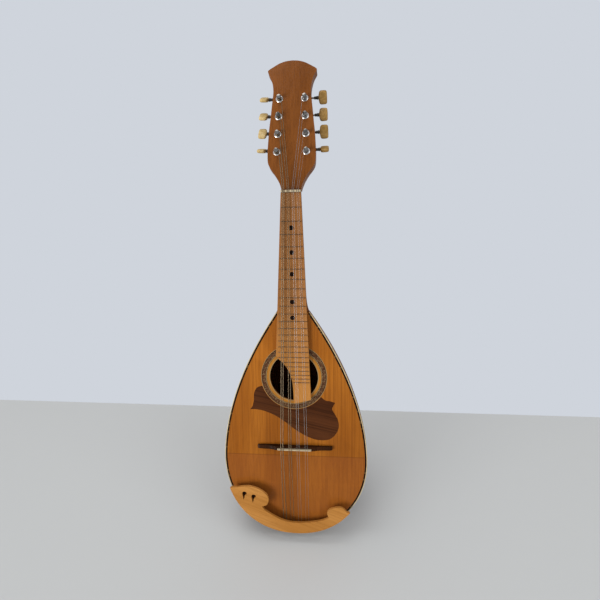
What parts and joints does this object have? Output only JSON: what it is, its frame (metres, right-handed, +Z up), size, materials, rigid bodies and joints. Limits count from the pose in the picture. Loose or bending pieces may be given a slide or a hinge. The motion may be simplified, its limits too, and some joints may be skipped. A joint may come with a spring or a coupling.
{
  "type": "bowlback mandolin",
  "caption": "Round-backed plucked string instrument: ribbed bowl, canted top with sound hole, fretted neck, tilted head with worm tuners, floating bridge, raised armrest.",
  "frame": {"origin": "on the centre line, in the middle of the neck's thickness at the nut, where a wall hanger's yoke holds the neck under the headstock", "axes": "+Z up the neck towards the headstock, the soundboard faces -Y, +X is the treble side"},
  "size_m": [0.2, 0.1427, 0.6537],
  "materials": {
    "rib_wood": "dark reddish brown, clear gloss lacquer over straight grain",
    "neck_wood": "mid red-brown mahogany, satin lacquer",
    "fingerboard_wood": "light brown hardwood, open grain, satin, worn between the frets",
    "soundboard_spruce": "honey to orange-brown spruce, fine straight grain along the neck, glossy lacquer",
    "inner_spruce": "raw pale spruce",
    "rosette_mosaic": "dark mosaic ring between thin pale lines",
    "pickguard_shell": "dark red-brown with soft darker mottling, polished",
    "binding_cream": "aged cream",
    "bridge_wood": "near-black brown hardwood, satin",
    "bone": "polished bone",
    "armrest_wood": "pale yellow maple, satin lacquer",
    "tailpiece_steel": "bright plated steel",
    "plate_steel": "bright plated steel, lightly worn",
    "post_steel": "bright plated steel",
    "worm_steel": "bright plated steel",
    "button_cream": "cream moulded plastic with a pearly sheen",
    "wound_string": "bronze-wound steel",
    "plain_string": "plain steel"
  },
  "bodies": {
    "root": {"rib_1": "rib_wood", "rib_2": "rib_wood", "rib_3": "rib_wood", "rib_4": "rib_wood", "rib_5": "rib_wood", "rib_6": "rib_wood", "rib_7": "rib_wood", "rib_8": "rib_wood", "rib_9": "rib_wood", "neck_block": "inner_spruce", "tail_block": "inner_spruce", "brace_upper": "inner_spruce", "brace_lower": "inner_spruce", "end_clasp": "rib_wood", "pickguard": "pickguard_shell", "rosette": "rosette_mosaic", "soundboard": "soundboard_spruce", "binding": "binding_cream", "neck": "neck_wood", "fingerboard": "fingerboard_wood", "nut": "bone", "bridge_base": "bridge_wood", "bridge_saddle": "bone", "tailpiece": "tailpiece_steel", "armrest": "armrest_wood", "headstock": "neck_wood", "tuner_plate_left": "plate_steel", "tuner_plate_right": "plate_steel", "string_g1": "wound_string", "string_g2": "wound_string", "string_d1": "wound_string", "string_d2": "wound_string", "string_a1": "plain_string", "string_a2": "plain_string", "string_e1": "plain_string", "string_e2": "plain_string"},
    "worm_1": {"worm_shaft_1": "worm_steel", "button_1": "button_cream"},
    "post_1": {"string_post_1": "post_steel"},
    "worm_2": {"worm_shaft_2": "worm_steel", "button_2": "button_cream"},
    "post_2": {"string_post_2": "post_steel"},
    "worm_3": {"worm_shaft_3": "worm_steel", "button_3": "button_cream"},
    "post_3": {"string_post_3": "post_steel"},
    "worm_4": {"worm_shaft_4": "worm_steel", "button_4": "button_cream"},
    "post_4": {"string_post_4": "post_steel"},
    "worm_5": {"worm_shaft_5": "worm_steel", "button_5": "button_cream"},
    "post_5": {"string_post_5": "post_steel"},
    "worm_6": {"worm_shaft_6": "worm_steel", "button_6": "button_cream"},
    "post_6": {"string_post_6": "post_steel"},
    "worm_7": {"worm_shaft_7": "worm_steel", "button_7": "button_cream"},
    "post_7": {"string_post_7": "post_steel"},
    "worm_8": {"worm_shaft_8": "worm_steel", "button_8": "button_cream"},
    "post_8": {"string_post_8": "post_steel"}
  },
  "joints": [
    {"name": "worm_1_turn", "type": "hinge", "parent": "root", "child": "worm_1", "pos_m": [-0.01897, 0.0216, 0.053], "axis": [-0.9993, 0.0078, 0.0369], "continuous": true},
    {"name": "post_1_turn", "type": "hinge", "parent": "root", "child": "post_1", "pos_m": [-0.0193, 0.00271, 0.04803], "axis": [0, 0.9781, -0.2079], "continuous": true},
    {"name": "worm_2_turn", "type": "hinge", "parent": "root", "child": "worm_2", "pos_m": [-0.01807, 0.02656, 0.07631], "axis": [-0.9993, 0.0078, 0.0369], "continuous": true},
    {"name": "post_2_turn", "type": "hinge", "parent": "root", "child": "post_2", "pos_m": [-0.0184, 0.00766, 0.07134], "axis": [0, 0.9781, -0.2079], "continuous": true},
    {"name": "worm_3_turn", "type": "hinge", "parent": "root", "child": "worm_3", "pos_m": [-0.01717, 0.03152, 0.09963], "axis": [-0.9993, 0.0078, 0.0369], "continuous": true},
    {"name": "post_3_turn", "type": "hinge", "parent": "root", "child": "post_3", "pos_m": [-0.0175, 0.01262, 0.09465], "axis": [0, 0.9781, -0.2079], "continuous": true},
    {"name": "worm_4_turn", "type": "hinge", "parent": "root", "child": "worm_4", "pos_m": [-0.01627, 0.03647, 0.12294], "axis": [-0.9993, 0.0078, 0.0369], "continuous": true},
    {"name": "post_4_turn", "type": "hinge", "parent": "root", "child": "post_4", "pos_m": [-0.0166, 0.01757, 0.11796], "axis": [0, 0.9781, -0.2079], "continuous": true},
    {"name": "worm_5_turn", "type": "hinge", "parent": "root", "child": "worm_5", "pos_m": [0.01897, 0.0216, 0.053], "axis": [0.9993, 0.0078, 0.0369], "continuous": true},
    {"name": "post_5_turn", "type": "hinge", "parent": "root", "child": "post_5", "pos_m": [0.0193, 0.00271, 0.04803], "axis": [0, 0.9781, -0.2079], "continuous": true},
    {"name": "worm_6_turn", "type": "hinge", "parent": "root", "child": "worm_6", "pos_m": [0.01807, 0.02656, 0.07631], "axis": [0.9993, 0.0078, 0.0369], "continuous": true},
    {"name": "post_6_turn", "type": "hinge", "parent": "root", "child": "post_6", "pos_m": [0.0184, 0.00766, 0.07134], "axis": [0, 0.9781, -0.2079], "continuous": true},
    {"name": "worm_7_turn", "type": "hinge", "parent": "root", "child": "worm_7", "pos_m": [0.01717, 0.03152, 0.09963], "axis": [0.9993, 0.0078, 0.0369], "continuous": true},
    {"name": "post_7_turn", "type": "hinge", "parent": "root", "child": "post_7", "pos_m": [0.0175, 0.01262, 0.09465], "axis": [0, 0.9781, -0.2079], "continuous": true},
    {"name": "worm_8_turn", "type": "hinge", "parent": "root", "child": "worm_8", "pos_m": [0.01627, 0.03647, 0.12294], "axis": [0.9993, 0.0078, 0.0369], "continuous": true},
    {"name": "post_8_turn", "type": "hinge", "parent": "root", "child": "post_8", "pos_m": [0.0166, 0.01757, 0.11796], "axis": [0, 0.9781, -0.2079], "continuous": true}
  ],
  "couplings": [
    {"joint": "post_1_turn", "follows": "worm_1_turn", "ratio": 0.071429},
    {"joint": "post_2_turn", "follows": "worm_2_turn", "ratio": 0.071429},
    {"joint": "post_3_turn", "follows": "worm_3_turn", "ratio": 0.071429},
    {"joint": "post_4_turn", "follows": "worm_4_turn", "ratio": 0.071429},
    {"joint": "post_5_turn", "follows": "worm_5_turn", "ratio": -0.071429},
    {"joint": "post_6_turn", "follows": "worm_6_turn", "ratio": -0.071429},
    {"joint": "post_7_turn", "follows": "worm_7_turn", "ratio": -0.071429},
    {"joint": "post_8_turn", "follows": "worm_8_turn", "ratio": -0.071429}
  ]
}
